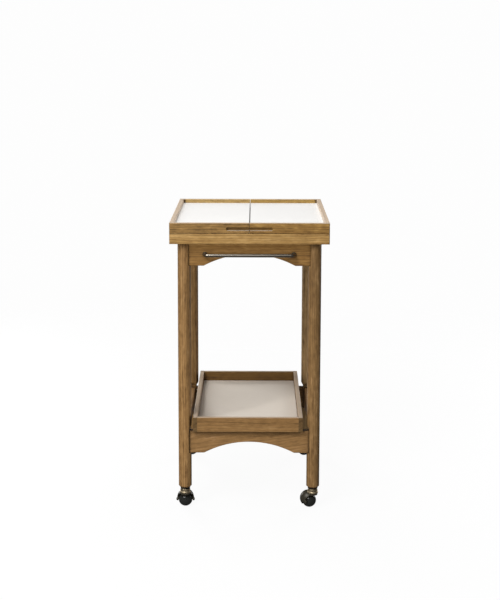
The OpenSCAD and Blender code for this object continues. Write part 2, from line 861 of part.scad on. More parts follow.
// Sleeves in the leg ends, with a thin flange under the foot
module caster_sleeves() {
  color(gunmetal)
    each_corner() translate([-leg_x, -leg_y, 0])
      difference() {
        union() {
          translate([0, 0, caster_h - sleeve_flange_t]) cylinder(d = sleeve_flange_dia, h = sleeve_flange_t);
          translate([0, 0, caster_h]) cylinder(d = sleeve_dia, h = stem_in_leg);
        }
        translate([0, 0, caster_h - sleeve_flange_t - 1])
          cylinder(d = stem_dia + 2*fit, h = stem_in_leg + sleeve_flange_t + 2);
      }
}

leg_front_left();
leg_front_right();
leg_back_left();
leg_back_right();
apron_upper_front();
apron_upper_back();
apron_upper_left();
apron_upper_right();
apron_lower_front();
apron_lower_back();
apron_lower_left();
apron_lower_right();
apron_dowels();
corner_blocks();
leg_bolts();
top_screws();
base_edge_front();
base_edge_back();
base_edge_left();
base_edge_right();
base_panel();
base_hinges();
base_hinge_screws();
towel_bar();
bar_flanges();
bar_screws();
caster_sleeves();
leaf_left_panel();
leaf_left_rim_front();
leaf_left_rim_back();
leaf_left_rim_side();
leaf_left_hinges();
leaf_left_screws();
leaf_right_panel();
leaf_right_rim_front();
leaf_right_rim_back();
leaf_right_rim_side();
leaf_right_hinges();
leaf_right_screws();
tray_left();
tray_right();
tray_front();
tray_back();
tray_floor();
caster_fl_stem();
caster_fl_hood();
caster_fl_axle();
caster_fl_ball();
caster_fr_stem();
caster_fr_hood();
caster_fr_axle();
caster_fr_ball();
caster_bl_stem();
caster_bl_hood();
caster_bl_axle();
caster_bl_ball();
caster_br_stem();
caster_br_hood();
caster_br_axle();
caster_br_ball();
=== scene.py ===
import math

import bpy
import numpy as np
from mathutils import Euler, Matrix, Vector


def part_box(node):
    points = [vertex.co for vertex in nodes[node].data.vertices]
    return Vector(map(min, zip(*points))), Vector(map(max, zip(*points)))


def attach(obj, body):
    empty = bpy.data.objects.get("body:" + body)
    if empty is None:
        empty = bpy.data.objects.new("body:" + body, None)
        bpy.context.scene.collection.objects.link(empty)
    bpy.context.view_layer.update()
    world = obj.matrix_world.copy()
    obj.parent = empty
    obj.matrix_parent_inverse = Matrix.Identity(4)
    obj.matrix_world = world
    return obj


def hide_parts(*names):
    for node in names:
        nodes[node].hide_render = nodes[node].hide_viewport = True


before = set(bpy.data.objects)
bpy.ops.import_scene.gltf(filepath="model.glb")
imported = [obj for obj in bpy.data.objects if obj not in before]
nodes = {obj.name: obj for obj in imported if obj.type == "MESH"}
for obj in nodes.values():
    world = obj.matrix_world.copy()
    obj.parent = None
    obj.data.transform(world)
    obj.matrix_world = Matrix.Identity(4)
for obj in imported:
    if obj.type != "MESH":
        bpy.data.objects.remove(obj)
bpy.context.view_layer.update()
print("frame loaded:", len(nodes), "nodes")

scene = bpy.context.scene
scene.view_settings.view_transform = "Standard"
scene.view_settings.look = "None"

cameraLook = {
    "spot": (0.014871, -3.949764, 1.366083),
    "pitch": 8.65701,        # degrees down
    "yaw": -0.21041,         # degrees to the right
    "roll": 0.13524,         # degrees
    "picture": (500, 600),   # the photograph's width and height in pixels
    "focal": 1329.455,       # in its pixels
    "axisPixel": (250, 235),
    "sensor": 36,            # millimetres along the picture's height
    "clip": (0.05, 60),
}


def makeCamera(look):
    pitch, yaw, roll = (math.radians(look[key]) for key in ("pitch", "yaw", "roll"))
    ahead = Vector((math.sin(yaw) * math.cos(pitch), math.cos(yaw) * math.cos(pitch), -math.sin(pitch)))
    level = Vector((math.cos(yaw), -math.sin(yaw), 0))
    above = level.cross(ahead)
    right = level * math.cos(roll) + above * math.sin(roll)
    up = above * math.cos(roll) - level * math.sin(roll)
    wide, high = look["picture"]
    data = bpy.data.cameras.new("cartCamera")
    data.sensor_width = look["sensor"]
    data.lens = look["focal"] / high * look["sensor"]
    data.shift_x = (wide / 2 - look["axisPixel"][0]) / high
    data.shift_y = (look["axisPixel"][1] - high / 2) / high
    data.clip_start, data.clip_end = look["clip"]
    camera = bpy.data.objects.new("cartCamera", data)
    turn = Matrix((right, up, -ahead)).transposed().to_4x4()
    camera.matrix_world = Matrix.Translation(Vector(look["spot"])) @ turn
    scene.collection.objects.link(camera)
    scene.camera = camera


makeCamera(cameraLook)
print("camera placed")


# One node, its settings, and for each named socket a value or a link
def addNode(tree, kind, sockets=None, **settings):
    node = tree.nodes.new(kind)
    for key, value in settings.items():
        setattr(node, key, value)
    for key, value in (sockets or {}).items():
        if isinstance(value, bpy.types.NodeSocket):
            tree.links.new(value, node.inputs[key])
        else:
            node.inputs[key].default_value = value
    return node


def calc(tree, operation, *values, clamp=False):
    sockets = dict(enumerate(values))
    return addNode(tree, "ShaderNodeMath", sockets, operation=operation, use_clamp=clamp).outputs[0]


# The two outputs of a vector operation: a vector and a plain value
def vectorCalc(tree, operation, *values):
    sockets = dict(enumerate(values))
    return addNode(tree, "ShaderNodeVectorMath", sockets, operation=operation).outputs


# The vector times (along, across, across): a pattern drawn out along the first axis
def stretched(tree, vector, along, across):
    return vectorCalc(tree, "MULTIPLY", vector, (along, across, across))[0]


def axisPart(tree, vector, axis):
    return addNode(tree, "ShaderNodeSeparateXYZ", {0: vector}).outputs[axis]


# A smooth step from toLow, where the value is fromLow, to toHigh, where it is fromHigh
def remap(tree, value, fromLow, fromHigh, toLow=0.0, toHigh=1.0):
    limits = {"From Min": fromLow, "From Max": fromHigh, "To Min": toLow, "To Max": toHigh}
    node = addNode(tree, "ShaderNodeMapRange", {"Value": value, **limits}, interpolation_type="SMOOTHSTEP")
    return node.outputs[0]


def blendColour(tree, share, first, second, how="MIX"):
    sockets = {0: share, 6: first, 7: second}
    return addNode(tree, "ShaderNodeMix", sockets, data_type="RGBA", blend_type=how).outputs[2]


def cloud(tree, vector, detail=2.0, roughness=0.5):
    sockets = {"Vector": vector, "Scale": 1.0, "Detail": detail, "Roughness": roughness}
    return addNode(tree, "ShaderNodeTexNoise", sockets).outputs[0]


def cloudLine(tree, value, detail=2.0, roughness=0.5):
    sockets = {"W": value, "Scale": 1.0, "Detail": detail, "Roughness": roughness}
    return addNode(tree, "ShaderNodeTexNoise", sockets, noise_dimensions="1D").outputs[0]


# A shader node group: inputs are (name, kind, value) rows and outputs (name, kind) rows
def newGroup(name, inputs, outputs):
    tree = bpy.data.node_groups.new(name, "ShaderNodeTree")
    kinds = {"float": "NodeSocketFloat", "vector": "NodeSocketVector", "colour": "NodeSocketColor"}
    for socketName, kind, value in inputs:
        socket = tree.interface.new_socket(name=socketName, in_out="INPUT", socket_type=kinds[kind])
        socket.default_value = value
    for socketName, kind in outputs:
        tree.interface.new_socket(name=socketName, in_out="OUTPUT", socket_type=kinds[kind])
    return tree, tree.nodes.new("NodeGroupInput").outputs, tree.nodes.new("NodeGroupOutput").inputs


def useGroup(tree, group, sockets):
    return addNode(tree, "ShaderNodeGroup", sockets, node_tree=group).outputs


# A pattern's pair is how often it changes in a metre, along the grain and across it
figureLook = {
    "slowWander": (2.2, 10), "quickWander": (9, 60), "quickShare": 0.16,
    "broadBands": 0.45, "narrowBands": 2.3, "yearDrift": 1.7,   # bands in a year's ring, and its drift
    "lateWood": (0.55, 0.93, 1.0), "lateDark": 0.22,            # where in a ring it starts, peaks and ends
    "fibres": (36, 520), "streaks": (14, 150), "patches": (48, 110),
    "pores": (40, 1300), "poreRange": (0.56, 0.70),
    "weights": (0.26, 0.19, 0.27, 0.28),                        # broad, narrow, streaks, patches
    "toMiddle": (0.30, 0.52), "toLight": (0.50, 0.70),
    "fibreShade": (0.34, 0.83), "poreDark": 0.5, "endDark": 0.42,
    "fibreRough": (0.10, 0.40), "poreRough": 0.25, "fibreHigh": 0.5, "poreDeep": 0.9,
}


# Growth rings round a pith line along X: a spot's ring is its distance from that line, plus a wander,
# divided by the ring width. Its tone is the weighted sum of bands over the rings, streaks and patches, and
# its fibres, late wood, pores and end grain darken it
def makeWoodFigure(look):
    tree, given, result = newGroup(
        "woodFigure",
        [
            ("Vector", "vector", (0, 0, 0)), ("Ring Width", "float", 0.006), ("Wander", "float", 0.012),
            ("Pores", "float", 0.5), ("Contrast", "float", 1.0), ("End Grain", "float", 0.0),
            ("Dark", "colour", (0.1, 0.05, 0.02, 1)), ("Middle", "colour", (0.3, 0.17, 0.07, 1)),
            ("Light", "colour", (0.5, 0.3, 0.14, 1)),
        ],
        [("Color", "colour"), ("Roughness", "float"), ("Height", "float")],
    )
    spot = given["Vector"]
    slow = calc(tree, "SUBTRACT", cloud(tree, stretched(tree, spot, *look["slowWander"])), 0.5)
    quick = calc(tree, "SUBTRACT", cloud(tree, stretched(tree, spot, *look["quickWander"])), 0.5)
    bend = calc(tree, "MULTIPLY", slow, given["Wander"])
    shake = calc(tree, "MULTIPLY", quick, calc(tree, "MULTIPLY", given["Wander"], look["quickShare"]))
    fromPith = vectorCalc(tree, "LENGTH", stretched(tree, spot, 0, 1))[1]
    fromPith = calc(tree, "ADD", fromPith, calc(tree, "ADD", bend, shake))
    year = calc(tree, "DIVIDE", fromPith, given["Ring Width"])

    broad = cloudLine(tree, calc(tree, "MULTIPLY", year, look["broadBands"]))
    narrow = cloudLine(tree, calc(tree, "MULTIPLY", year, look["narrowBands"]), detail=3.0, roughness=0.6)
    inRing = calc(tree, "FRACT", calc(tree, "ADD", year, calc(tree, "MULTIPLY", broad, look["yearDrift"])))
    starts, peaks, ends = look["lateWood"]
    rise, fall = remap(tree, inRing, starts, peaks), remap(tree, inRing, peaks, ends, 1.0, 0.0)
    late = calc(tree, "MULTIPLY", rise, fall)
    fibre = cloud(tree, stretched(tree, spot, *look["fibres"]), detail=3.0, roughness=0.6)
    streak = cloud(tree, stretched(tree, spot, *look["streaks"]), roughness=0.6)
    patch = cloud(tree, stretched(tree, spot, *look["patches"]), roughness=0.6)
    pore = remap(tree, cloud(tree, stretched(tree, spot, *look["pores"]), detail=1.0), *look["poreRange"])
    pore = calc(tree, "MULTIPLY", pore, given["Pores"])

    tone = calc(tree, "MULTIPLY", broad, look["weights"][0])
    for pattern, weight in zip((narrow, streak, patch), look["weights"][1:]):
        tone = calc(tree, "ADD", tone, calc(tree, "MULTIPLY", pattern, weight))
    swing = calc(tree, "MULTIPLY", calc(tree, "SUBTRACT", tone, 0.5), given["Contrast"])
    tone = calc(tree, "ADD", swing, 0.5)
    colour = blendColour(tree, remap(tree, tone, *look["toMiddle"]), given["Dark"], given["Middle"])
    colour = blendColour(tree, remap(tree, tone, *look["toLight"]), colour, given["Light"])
    lateDark = calc(tree, "MULTIPLY", late, calc(tree, "MULTIPLY", given["Contrast"], look["lateDark"]))
    shade = calc(tree, "SUBTRACT", calc(tree, "MULTIPLY_ADD", fibre, *look["fibreShade"]), lateDark)
    for mask, share in ((pore, look["poreDark"]), (given["End Grain"], look["endDark"])):
        kept = calc(tree, "SUBTRACT", 1.0, calc(tree, "MULTIPLY", mask, share))
        shade = calc(tree, "MULTIPLY", shade, kept)
    grey = addNode(tree, "ShaderNodeCombineColor", {0: shade, 1: shade, 2: shade}).outputs[0]
    tree.links.new(blendColour(tree, 1.0, colour, grey, "MULTIPLY"), result["Color"])
    rough = calc(tree, "MULTIPLY_ADD", fibre, *look["fibreRough"])
    rough = calc(tree, "ADD", rough, calc(tree, "MULTIPLY", pore, look["poreRough"]))
    tree.links.new(rough, result["Roughness"])
    fibreHigh = calc(tree, "MULTIPLY", fibre, look["fibreHigh"])
    height = calc(tree, "SUBTRACT", fibreHigh, calc(tree, "MULTIPLY", pore, look["poreDeep"]))
    tree.links.new(height, result["Height"])
    return tree


edgeLook = {"samples": 4, "turn": (0.01, 0.25), "uneven": 60, "unevenRange": (0.35, 0.65), "least": 0.35}


# How far the surface's normal turns when its edges are rounded: a mask of the arrises, and that normal
def makeSoftEdge(look):
    tree, given, result = newGroup(
        "softEdge", [("Radius", "float", 0.0015), ("Vector", "vector", (0, 0, 0))],
        [("Mask", "float"), ("Normal", "vector")],
    )
    bevel = addNode(tree, "ShaderNodeBevel", {"Radius": given["Radius"]}, samples=look["samples"])
    rounded = bevel.outputs[0]
    plain = tree.nodes.new("ShaderNodeNewGeometry").outputs["Normal"]
    turn = calc(tree, "SUBTRACT", 1.0, vectorCalc(tree, "DOT_PRODUCT", rounded, plain)[1])
    spots = stretched(tree, given["Vector"], look["uneven"], look["uneven"])
    uneven = cloud(tree, spots, detail=3.0, roughness=0.6)
    uneven = remap(tree, uneven, *look["unevenRange"], look["least"], 1.0)
    mask = calc(tree, "MULTIPLY", remap(tree, turn, *look["turn"]), uneven, clamp=True)
    tree.links.new(mask, result["Mask"])
    tree.links.new(rounded, result["Normal"])
    return tree


marksLook = {"smearStretch": (5, 2), "smearShare": 0.4, "wipeShare": 0.6, "range": (0.38, 0.64)}


# Soft cloudy marks that hands and cloths leave: broad wipes with finer smears in them
def makeHandling(look):
    tree, given, result = newGroup(
        "handlingMarks", [("Vector", "vector", (0, 0, 0)), ("Size", "float", 0.05)], [("Mask", "float")],
    )
    sockets = {0: given["Vector"], "Scale": calc(tree, "DIVIDE", 1.0, given["Size"])}
    scaled = addNode(tree, "ShaderNodeVectorMath", sockets, operation="SCALE").outputs[0]
    wipe = calc(tree, "MULTIPLY", cloud(tree, scaled, detail=3.0, roughness=0.55), look["wipeShare"])
    smear = cloud(tree, stretched(tree, scaled, *look["smearStretch"]), detail=3.0, roughness=0.6)
    mask = remap(tree, calc(tree, "MULTIPLY_ADD", smear, look["smearShare"], wipe), *look["range"])
    tree.links.new(mask, result["Mask"])
    return tree


creviceLook = {"samples": 6, "range": (0.96, 0.55)}


# How closed in a spot is: 0 in the open, towards 1 in joints and inner corners. The materials paint shade
# into closed-in spots by it
def makeCrevice(look):
    tree, given, result = newGroup("crevice", [("Reach", "float", 0.012)], [("Mask", "float")])
    openness = addNode(tree, "ShaderNodeAmbientOcclusion", {"Distance": given["Reach"]},
                       samples=look["samples"]).outputs["AO"]
    tree.links.new(remap(tree, openness, *look["range"]), result["Mask"])
    return tree


woodFigure = makeWoodFigure(figureLook)
softEdge = makeSoftEdge(edgeLook)
handlingMarks = makeHandling(marksLook)
crevice = makeCrevice(creviceLook)


def newMaterial(name):
    material = bpy.data.materials.new(name)
    material.use_nodes = True
    tree = material.node_tree
    return material, tree, tree.nodes["Principled BSDF"]


# A display colour of 0 to 255 a channel as scene-linear values
def linear(red, green, blue):
    parts = [c / 255 for c in (red, green, blue)]
    return tuple(c / 12.92 if c <= 0.04045 else ((c + 0.055) / 1.055) ** 2.4 for c in parts) + (1.0,)


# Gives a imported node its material, in the slots that its mesh already has
def dress(node, material):
    for slot in node.material_slots:
        slot.material = material


# The three tones of each kind of board, as display colours. The back-left leg's and the tray back's are
# darker as painted shade, and the back rims' lit tones are painted light
woodTones = {
    "legFrontLeft": ((99, 70, 39), (152, 116, 72), (191, 152, 105)),
    "legFrontRight": ((87, 60, 33), (133, 102, 63), (171, 135, 91)),
    "legBackLeftShaded": ((82, 58, 32), (124, 94, 56), (152, 120, 78)),
    "legBackRight": ((95, 72, 47), (146, 117, 78), (175, 145, 105)),
    "apronUpper": ((95, 65, 34), (134, 99, 53), (165, 126, 75)),
    "apronLower": ((97, 70, 42), (145, 110, 68), (179, 139, 97)),
    "baseFront": ((117, 85, 45), (161, 126, 74), (186, 150, 96)),
    "base": ((106, 77, 41), (150, 115, 66), (178, 142, 88)),
    "rimFrontLeft": ((90, 68, 38), (139, 107, 61), (174, 137, 84)),
    "rimFrontRight": ((95, 67, 32), (137, 103, 54), (176, 139, 78)),
    "rimBackLeftLit": ((124, 95, 50), (168, 139, 85), (190, 164, 110)),
    "rimBackRightLit": ((113, 84, 37), (158, 126, 66), (179, 150, 87)),
    "rimSide": ((120, 94, 62), (164, 132, 92), (196, 166, 126)),
    "trayFront": ((100, 72, 40), (142, 107, 65), (170, 134, 87)),
    "traySides": ((96, 70, 41), (134, 104, 65), (160, 127, 86)),
    "trayBackShaded": ((76, 52, 22), (108, 78, 37), (132, 100, 52)),
    "beech": ((150, 118, 72), (200, 166, 110), (222, 192, 140)),
}
litWoodColour = linear(222, 206, 186)       # painted light on upward faces and inner side faces
paintedShadeBrown = linear(52, 34, 14)     # painted shade in joints and corners, and the darker rim ends
paintedShadeDark = linear(26, 23, 18)      # painted shade in the closed-in corners of the fittings
wallReflection = linear(110, 78, 40)   # painted shade and reflection that wooden walls cast on a panel
grainTurns = {"x": (0, 0, 0), "y": (0, 0, -math.pi / 2), "z": (0, math.pi / 2, 0)}

# What all boards share; a pair says where a face's direction begins to count and where it counts fully
boardLook = {
    "pores": 0.6, "endGrain": (0.75, 0.95), "facing": (0.45, 0.9),
    "edgeRadius": 0.0014, "marksSize": 0.07, "marksGloss": 0.08,
    "endFadeWide": 0.006, "endFadeDark": 0.8, "paleFigure": 0.35,
    "bump": 0.35, "bumpDeep": 0.0004, "shine": 0.32,
}


# A board's wood: its grain runs along one axis, and pith is how far its heart lies off the board's middle.
# ring is how wide a year is, wander how uneven, and shift how far along its log the board was cut; slope is
# the grain's tilt in degrees. paintedTopLight is how far painted light turns its upward faces pale, and with
# paintedSideLight those that face +X (1) or -X (-1) too. rubbedAndLit is how pale its edges are, partly wear
# and partly a painted highlight; joints is how far painted shade darkens its joints and corners, and
# reach how wide. litInside gives the faces that face the front lighter tones, as painted light: the name of
# those tones, and how far out from the cart's middle these faces start to turn darker towards their ends.
# paintedHeightLight is two heights between which the wood turns paler or darker, and the factor by which it
# does: painted light and shade, paler at the top of the front upper apron and darker towards the legs' tops
def woodMaterial(name, node, tones, grain="x", pith=(0.05, 0.03), ring=0.006, wander=0.012, shift=0.0,
                 contrast=1.0, slope=0.0, paintedTopLight=0.0, paintedSideLight=0, rubbedAndLit=0.45, joints=0.85, reach=0.014,
                 litInside=None, paintedHeightLight=None):
    material, tree, shader = newMaterial(name)
    low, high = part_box(node.name)
    turn = Euler(grainTurns[grain])
    turn.y += math.radians(slope)
    offset = Vector((shift, pith[0], pith[1])) - turn.to_matrix() @ ((low + high) / 2)
    spots = tree.nodes.new("ShaderNodeTexCoord").outputs
    place, facing = spots["Object"], spots["Normal"]
    mapping = addNode(tree, "ShaderNodeMapping", {"Vector": place, "Location": offset, "Rotation": turn})
    turnedFacing = addNode(tree, "ShaderNodeMapping", {"Vector": facing, "Rotation": grainTurns[grain]},
                           vector_type="VECTOR").outputs[0]
    endGrain = calc(tree, "ABSOLUTE", axisPart(tree, turnedFacing, "X"))
    endGrain = remap(tree, endGrain, *boardLook["endGrain"])
    dark, middleTone, light = (linear(*tone) for tone in woodTones[tones])
    # Faces that face the front take lighter tones: painted light
    if litInside:
        litTones, darkFrom = litInside
        forward = calc(tree, "MULTIPLY", axisPart(tree, facing, "Y"), -1.0)
        forward = remap(tree, forward, *boardLook["facing"])
        dark, middleTone, light = (blendColour(tree, forward, tone, linear(*front))
                                   for tone, front in zip((dark, middleTone, light), woodTones[litTones]))
    figure = useGroup(tree, woodFigure, {
        "Vector": mapping.outputs[0], "Ring Width": ring, "Wander": wander, "Pores": boardLook["pores"],
        "Contrast": contrast, "End Grain": endGrain, "Dark": dark, "Middle": middleTone, "Light": light,
    })
    edge = useGroup(tree, softEdge, {"Radius": boardLook["edgeRadius"], "Vector": place})
    marks = useGroup(tree, handlingMarks, {"Vector": place, "Size": boardLook["marksSize"]})
    # Paler edges: partly wear, partly a painted highlight on the arrises
    colour = blendColour(tree, calc(tree, "MULTIPLY", edge["Mask"], rubbedAndLit), figure["Color"], light)
    # Painted shade in joints and inner corners
    shut = useGroup(tree, crevice, {"Reach": reach})
    colour = blendColour(tree, calc(tree, "MULTIPLY", shut["Mask"], joints), colour, paintedShadeBrown)
    # Darker towards the ends of the faces that face the front
    if litInside:
        out = calc(tree, "ABSOLUTE", axisPart(tree, place, "X"))
        towardEnds = remap(tree, out, darkFrom, darkFrom + boardLook["endFadeWide"], 0.0, boardLook["endFadeDark"])
        colour = blendColour(tree, calc(tree, "MULTIPLY", towardEnds, forward), colour, paintedShadeBrown)
    # Painted light and shade by height: paler under the overhang, darker towards the legs' tops
    if paintedHeightLight:
        lower, upper, factor = paintedHeightLight
        share = remap(tree, axisPart(tree, place, "Z"), lower, upper)
        colour = blendColour(tree, share, colour, (factor, factor, factor, 1), "MULTIPLY")
    # Painted light: upward faces, and inner side faces, turn pale
    if paintedTopLight:
        inward = calc(tree, "MULTIPLY", axisPart(tree, facing, "X"), paintedSideLight)
        towardLight = calc(tree, "MAXIMUM", axisPart(tree, facing, "Z"), inward)
        litShare = calc(tree, "MULTIPLY", remap(tree, towardLight, *boardLook["facing"]), paintedTopLight)
        pale = blendColour(tree, boardLook["paleFigure"], litWoodColour, figure["Color"], "MULTIPLY")
        colour = blendColour(tree, litShare, colour, pale)
    tree.links.new(colour, shader.inputs["Base Color"])
    gloss = calc(tree, "MULTIPLY_ADD", marks["Mask"], boardLook["marksGloss"], figure["Roughness"])
    tree.links.new(gloss, shader.inputs["Roughness"])
    bump = addNode(tree, "ShaderNodeBump", {
        "Strength": boardLook["bump"], "Distance": boardLook["bumpDeep"],
        "Height": figure["Height"], "Normal": edge["Normal"],
    })
    tree.links.new(bump.outputs[0], shader.inputs["Normal"])
    shader.inputs["Specular IOR Level"].default_value = boardLook["shine"]
    dress(node, material)


legs = dict(grain="z", contrast=1.15, rubbedAndLit=0.8)
upperAprons = dict(tones="apronUpper", ring=0.007, wander=0.02)
lowerAprons = dict(tones="apronLower", ring=0.007, wander=0.02)
baseEdges = dict(tones="base", ring=0.007, wander=0.016, contrast=1.3)
frontRims = dict(wander=0.02, contrast=1.4, paintedTopLight=0.9, rubbedAndLit=0.8, joints=0.15)
backRims = dict(tones="base", ring=0.008, paintedTopLight=0.9, joints=0.0)
sideRims = dict(tones="rimSide", grain="y", ring=0.008, contrast=1.5, paintedTopLight=0.9, joints=0.0)
trayBoards = dict(ring=0.007, wander=0.02, paintedTopLight=0.7)
beech = dict(tones="beech", pith=(0.03, 0.03), ring=0.005, contrast=0.6)

boards = {
    "leg_front_left": dict(legs, tones="legFrontLeft", pith=(0.05, 0.03), ring=0.0075, shift=0.2,
                           paintedHeightLight=(0.35, 0.75, 0.86)),
    "leg_front_right": dict(legs, tones="legFrontRight", pith=(0.02, -0.045), ring=0.0055, shift=1.3,
                            paintedHeightLight=(0.35, 0.75, 0.84)),
    "leg_back_left": dict(legs, tones="legBackLeftShaded", pith=(-0.04, 0.03), ring=0.007, shift=2.1),
    "leg_back_right": dict(legs, tones="legBackRight", pith=(0.03, 0.06), ring=0.006, shift=3.7),
    "apron_upper_front": dict(upperAprons, pith=(0.02, 0.11), ring=0.008, shift=0.4, contrast=1.1,
                              joints=0.5, paintedHeightLight=(0.750, 0.772, 1.36)),
    "apron_upper_back": dict(upperAprons, pith=(0.05, 0.06), shift=1.1),
    "apron_upper_left": dict(upperAprons, grain="y", pith=(0.03, 0.09), ring=0.008, shift=1.7),
    "apron_upper_right": dict(upperAprons, grain="y", pith=(0.06, -0.05), shift=2.6),
    "apron_lower_front": dict(lowerAprons, pith=(0.04, -0.06), ring=0.011, wander=0.03, shift=5.2, slope=9,
                              contrast=0.85, joints=1.0, reach=0.022),
    "apron_lower_back": dict(lowerAprons, pith=(0.05, 0.08), shift=6.1),
    "apron_lower_left": dict(lowerAprons, grain="y", pith=(0.04, 0.09), shift=7.7),
    "apron_lower_right": dict(lowerAprons, grain="y", pith=(0.05, -0.07), shift=8.6),
    "base_edge_front": dict(baseEdges, tones="baseFront", pith=(0.03, 0.06), shift=0.9, contrast=1.4,
                            joints=0.4),
    "base_edge_back": dict(baseEdges, pith=(0.03, 0.05), shift=1.9),
    "base_edge_left": dict(baseEdges, grain="y", pith=(0.03, 0.05), shift=2.9),
    "base_edge_right": dict(baseEdges, grain="y", pith=(0.04, 0.05), shift=3.9),
    "leaf_left_rim_front": dict(frontRims, tones="rimFrontLeft", pith=(0.03, 0.05), ring=0.008, shift=0.3),
    "leaf_right_rim_front": dict(frontRims, tones="rimFrontRight", pith=(0.02, 0.06), ring=0.007,
                                 shift=1.4),
    "leaf_left_rim_back": dict(backRims, litInside=("rimBackLeftLit", 0.2035), pith=(0.03, 0.05), shift=2.3),
    "leaf_right_rim_back": dict(backRims, litInside=("rimBackRightLit", 0.2035), pith=(0.03, 0.06), shift=3.4),
    "leaf_left_rim_side": dict(sideRims, pith=(0.03, 0.05), shift=4.3, paintedSideLight=1),
    "leaf_right_rim_side": dict(sideRims, pith=(0.04, 0.05), shift=5.4, paintedSideLight=-1),
    "tray_front": dict(trayBoards, tones="trayFront", pith=(0.02, 0.08), shift=0.7),
    "tray_back": dict(trayBoards, tones="trayBackShaded", pith=(0.03, 0.08), shift=1.7, joints=0.3),
    "tray_left": dict(trayBoards, tones="traySides", grain="y", pith=(0.03, 0.08), shift=2.7),
    "tray_right": dict(trayBoards, tones="traySides", grain="y", pith=(0.04, 0.07), shift=3.7),
    "apron_dowels": beech,
    "corner_blocks": beech,
}
for nodeName, look in boards.items():
    woodMaterial("wood_" + nodeName, nodes[nodeName], **look)
print("wood on", len(boards), "nodes")

panelLook = {
    "speckles": 900, "speckleRange": (0.3, 0.7), "speckleGloss": 0.08, "bump": 0.15, "bumpDeep": 0.0002,
    "edgeRadius": 0.0006, "marksSize": 0.12, "marksDark": 0.25, "marksGloss": 0.12, "shadeReach": 0.05,
    "seamShadeColour": (0.14, 0.135, 0.13, 1), "seamShadeFade": (1.3, 0.8),
}


# A melamine facing: a fine even speckle in the print, and a slight orange peel. joints is how far painted
# shade and reflection from the walls colour it, wiped how far hands and cloths have marked it, and seam how
# far from the cart's middle the painted shadow of the gap between the two leaves reaches
def panelMaterial(name, colour, speckle, roughness, seam=0.0, joints=0.0, wiped=1.0):
    material, tree, shader = newMaterial(name)
    spot = tree.nodes.new("ShaderNodeTexCoord").outputs["Object"]
    fine = stretched(tree, spot, panelLook["speckles"], panelLook["speckles"])
    fine = cloud(tree, fine, roughness=0.6)
    marks = useGroup(tree, handlingMarks, {"Vector": spot, "Size": panelLook["marksSize"]})
    edge = useGroup(tree, softEdge, {"Radius": panelLook["edgeRadius"], "Vector": spot})
    dark = tuple(c * (1 - speckle) for c in colour[:3]) + (1.0,)
    shade = blendColour(tree, remap(tree, fine, *panelLook["speckleRange"]), dark, colour)
    share = calc(tree, "MULTIPLY", marks["Mask"], panelLook["marksDark"] * wiped)
    shade = blendColour(tree, share, shade, dark)
    # Painted shade and reflection of the walls, near them
    if joints:
        shut = useGroup(tree, crevice, {"Reach": panelLook["shadeReach"]})
        shade = blendColour(tree, calc(tree, "MULTIPLY", shut["Mask"], joints), shade, wallReflection)
    # Painted shadow of the gap between the two leaves
    if seam:
        across = calc(tree, "ABSOLUTE", axisPart(tree, spot, "X"))
        starts, full = (seam * factor for factor in panelLook["seamShadeFade"])
        shade = blendColour(tree, remap(tree, across, starts, full), shade, panelLook["seamShadeColour"])
    tree.links.new(shade, shader.inputs["Base Color"])
    gloss = calc(tree, "MULTIPLY_ADD", fine, panelLook["speckleGloss"], roughness)
    gloss = calc(tree, "MULTIPLY_ADD", marks["Mask"], panelLook["marksGloss"] * wiped, gloss)
    tree.links.new(gloss, shader.inputs["Roughness"])
    bump = addNode(tree, "ShaderNodeBump", {
        "Strength": panelLook["bump"], "Distance": panelLook["bumpDeep"],
        "Height": fine, "Normal": edge["Normal"],
    })
    tree.links.new(bump.outputs[0], shader.inputs["Normal"])
    return material


metalLook = {
    "edgeRadius": 0.0006, "edgeWorn": 0.55, "marksSize": 0.012, "marksGloss": 0.14,
    "patinaTone": 0.72, "patinaShare": 0.8, "grit": 1500, "gritGloss": 0.08, "gritDeep": 0.0001,
    "creviceReach": 0.010,
}


# Metal or paint with a cloudy patina, worn paler along its edges; joints is how far painted shade darkens
# its closed-in spots, grainy how rough it feels, and cloudy how strong the patina is
def metalMaterial(name, colour, worn, metallic, roughness, joints=0.0, grainy=0.12, cloudy=1.0):
    material, tree, shader = newMaterial(name)
    spot = tree.nodes.new("ShaderNodeTexCoord").outputs["Object"]
    edge = useGroup(tree, softEdge, {"Radius": metalLook["edgeRadius"], "Vector": spot})
    marks = useGroup(tree, handlingMarks, {"Vector": spot, "Size": metalLook["marksSize"]})
    grit = stretched(tree, spot, metalLook["grit"], metalLook["grit"])
    grit = cloud(tree, grit, roughness=0.6)
    patina = tuple(c * metalLook["patinaTone"] for c in colour[:3]) + (1.0,)
    share = calc(tree, "MULTIPLY", marks["Mask"], metalLook["patinaShare"] * cloudy)
    shade = blendColour(tree, share, colour, patina)
    shade = blendColour(tree, calc(tree, "MULTIPLY", edge["Mask"], metalLook["edgeWorn"]), shade, worn)
    # Painted shade in closed-in spots
    if joints:
        shut = useGroup(tree, crevice, {"Reach": metalLook["creviceReach"]})
        shade = blendColour(tree, calc(tree, "MULTIPLY", shut["Mask"], joints), shade, paintedShadeDark)
    tree.links.new(shade, shader.inputs["Base Color"])
    gloss = calc(tree, "MULTIPLY_ADD", grit, metalLook["gritGloss"], roughness)
    gloss = calc(tree, "MULTIPLY_ADD", marks["Mask"], metalLook["marksGloss"] * cloudy, gloss)
    tree.links.new(gloss, shader.inputs["Roughness"])
    bump = addNode(tree, "ShaderNodeBump", {
        "Strength": grainy, "Distance": metalLook["gritDeep"],
        "Height": grit, "Normal": edge["Normal"],
    })
    tree.links.new(bump.outputs[0], shader.inputs["Normal"])
    shader.inputs["Metallic"].default_value = metallic
    return material


